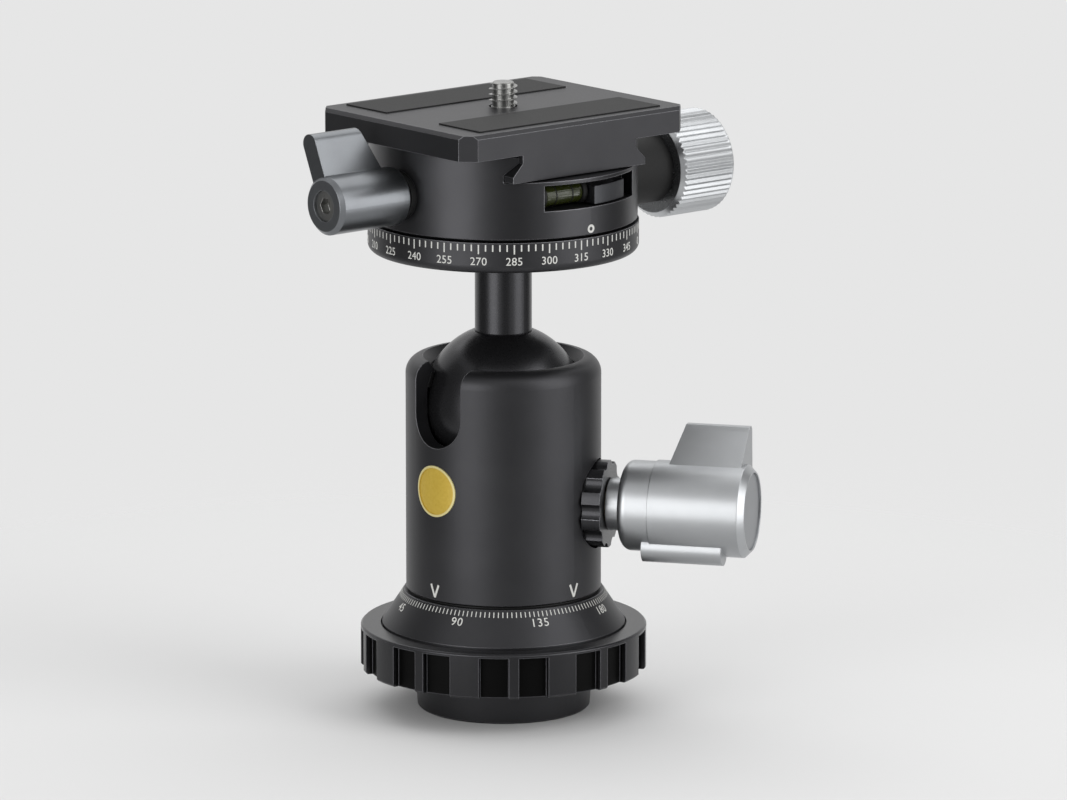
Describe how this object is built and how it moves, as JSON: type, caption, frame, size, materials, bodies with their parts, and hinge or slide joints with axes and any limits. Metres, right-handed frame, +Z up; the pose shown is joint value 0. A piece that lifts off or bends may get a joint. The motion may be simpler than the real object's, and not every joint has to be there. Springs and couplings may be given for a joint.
{
  "type": "tripod ball head",
  "caption": "Tripod ball head: panning base with lock ring, barrel housing with drop notch, winged lock knob, stem, graduated dial and panning dovetail clamp with plate.",
  "frame": {"origin": "centre of the support thread's mouth, on the face that stands on the tripod or table", "axes": "+Z up along the pan axis, -Y towards the drop notch and badge, main lock knob 120 degrees round from the notch"},
  "size_m": [0.0859, 0.1111, 0.1416],
  "materials": {
    "black_anodised": "bead blasted, black anodised, satin",
    "ring_black": "moulded, fine grain",
    "silver_satin": "turned and satin anodised",
    "grey_anodised": "grey anodised",
    "steel": "turned",
    "black_screw": "black oxide",
    "brass": "turned",
    "slide_plastic": "moulded",
    "rubber": "moulded, matte",
    "yellow_enamel": "satin enamel",
    "level_glass": "clear tube of yellow-green liquid"
  },
  "bodies": {
    "base": {"base_foot": "black_anodised", "thread_bush": "steel", "base_screws": "steel", "scale_cone": "black_anodised", "pan_brake_pins": "brass", "pan_washer": "slide_plastic", "pan_retainer": "steel", "retainer_screws": "steel"},
    "pan_ring": {"pan_lock_ring": "ring_black"},
    "housing": {"housing_barrel": "black_anodised", "housing_floor": "black_anodised", "upper_race": "slide_plastic", "disc_springs": "steel", "lock_bush": "brass", "badge": "yellow_enamel"},
    "ball_brake": {"pressure_cup": "steel"},
    "lock": {"lock_knob": "silver_satin", "lock_shaft": "steel", "knob_cap": "grey_anodised"},
    "friction": {"friction_ring": "rubber"},
    "liner": {"ball_liner": "slide_plastic"},
    "ball": {"ball": "black_anodised"},
    "stem": {"stem": "black_anodised", "dial": "black_anodised", "pan_thrust_washer": "slide_plastic", "pan_screw": "steel", "pan_wave_washer": "steel"},
    "clamp": {"clamp_body": "black_anodised", "clamp_nut_bar": "grey_anodised", "level_vial": "level_glass", "level_caps": "slide_plastic", "pan_brake_pin": "brass", "pan_lever_bush": "rubber"},
    "lever": {"pan_lever": "silver_satin", "pan_lever_shaft": "steel", "pan_lever_screw": "black_screw"},
    "jaw": {"moving_jaw": "black_anodised"},
    "jaw_knob": {"clamp_knob": "silver_satin", "clamp_knob_collar": "rubber", "clamp_screw": "steel"},
    "plate": {"plate": "black_anodised", "plate_pads": "rubber"},
    "camera_bolt": {"camera_screw": "steel", "screw_clip": "steel"}
  },
  "joints": [
    {"name": "base_pan", "type": "hinge", "parent": "base", "child": "housing", "pos_m": [0, 0, 0.0272], "axis": [0, 0, 1], "continuous": true},
    {"name": "pan_ring_turn", "type": "hinge", "parent": "base", "child": "pan_ring", "pos_m": [0, 0, 0.0139], "axis": [0, 0, 1], "range_deg": [0, 75]},
    {"name": "lock_knob_turn", "type": "hinge", "parent": "housing", "child": "lock", "pos_m": [0, 0, 0.0473], "axis": [-0.866, -0.5, 0], "range_deg": [0, 140]},
    {"name": "ball_brake_lift", "type": "slide", "parent": "housing", "child": "ball_brake", "axis": [0, 0, 1], "range_m": [0, 0.0002]},
    {"name": "friction_ring_turn", "type": "hinge", "parent": "housing", "child": "friction", "pos_m": [0, 0, 0.0473], "axis": [0.866, 0.5, 0], "range_deg": [0, 270]},
    {"name": "ball_side_tilt", "type": "hinge", "parent": "housing", "child": "liner", "pos_m": [0, 0, 0.0689], "axis": [0, 1, 0], "range_deg": [-28, 28]},
    {"name": "ball_notch_tilt", "type": "hinge", "parent": "liner", "child": "ball", "pos_m": [0, 0, 0.0689], "axis": [1, 0, 0], "range_deg": [-28, 90]},
    {"name": "stem_spin", "type": "hinge", "parent": "ball", "child": "stem", "pos_m": [0, 0, 0.0689], "axis": [0, 0, 1], "continuous": true},
    {"name": "clamp_pan", "type": "hinge", "parent": "stem", "child": "clamp", "pos_m": [0, 0, 0.1112], "axis": [0, 0, 1], "continuous": true},
    {"name": "pan_lever_turn", "type": "hinge", "parent": "clamp", "child": "lever", "pos_m": [0, 0, 0.1197], "axis": [-0.0958, -0.9954, 0], "range_deg": [0, 100]},
    {"name": "jaw_slide", "type": "slide", "parent": "clamp", "child": "jaw", "axis": [0.0958, 0.9954, 0], "range_m": [0, 0.004]},
    {"name": "clamp_knob_turn", "type": "hinge", "parent": "jaw", "child": "jaw_knob", "pos_m": [0, 0, 0.1174], "axis": [0.0958, 0.9954, 0], "range_deg": [0, 1440]},
    {"name": "plate_slide", "type": "slide", "parent": "clamp", "child": "plate", "axis": [0.9954, -0.0958, 0], "range_m": [-0.02, 0.02]},
    {"name": "camera_screw_turn", "type": "hinge", "parent": "plate", "child": "camera_bolt", "pos_m": [0, 0, 0.1386], "axis": [0, 0, 1], "continuous": true}
  ],
  "couplings": [
    {"joint": "clamp_knob_turn", "follows": "jaw_slide", "rad_per_m": 6283},
    {"joint": "ball_brake_lift", "follows": "lock_knob_turn", "m_per_rad": 0.000081}
  ]
}
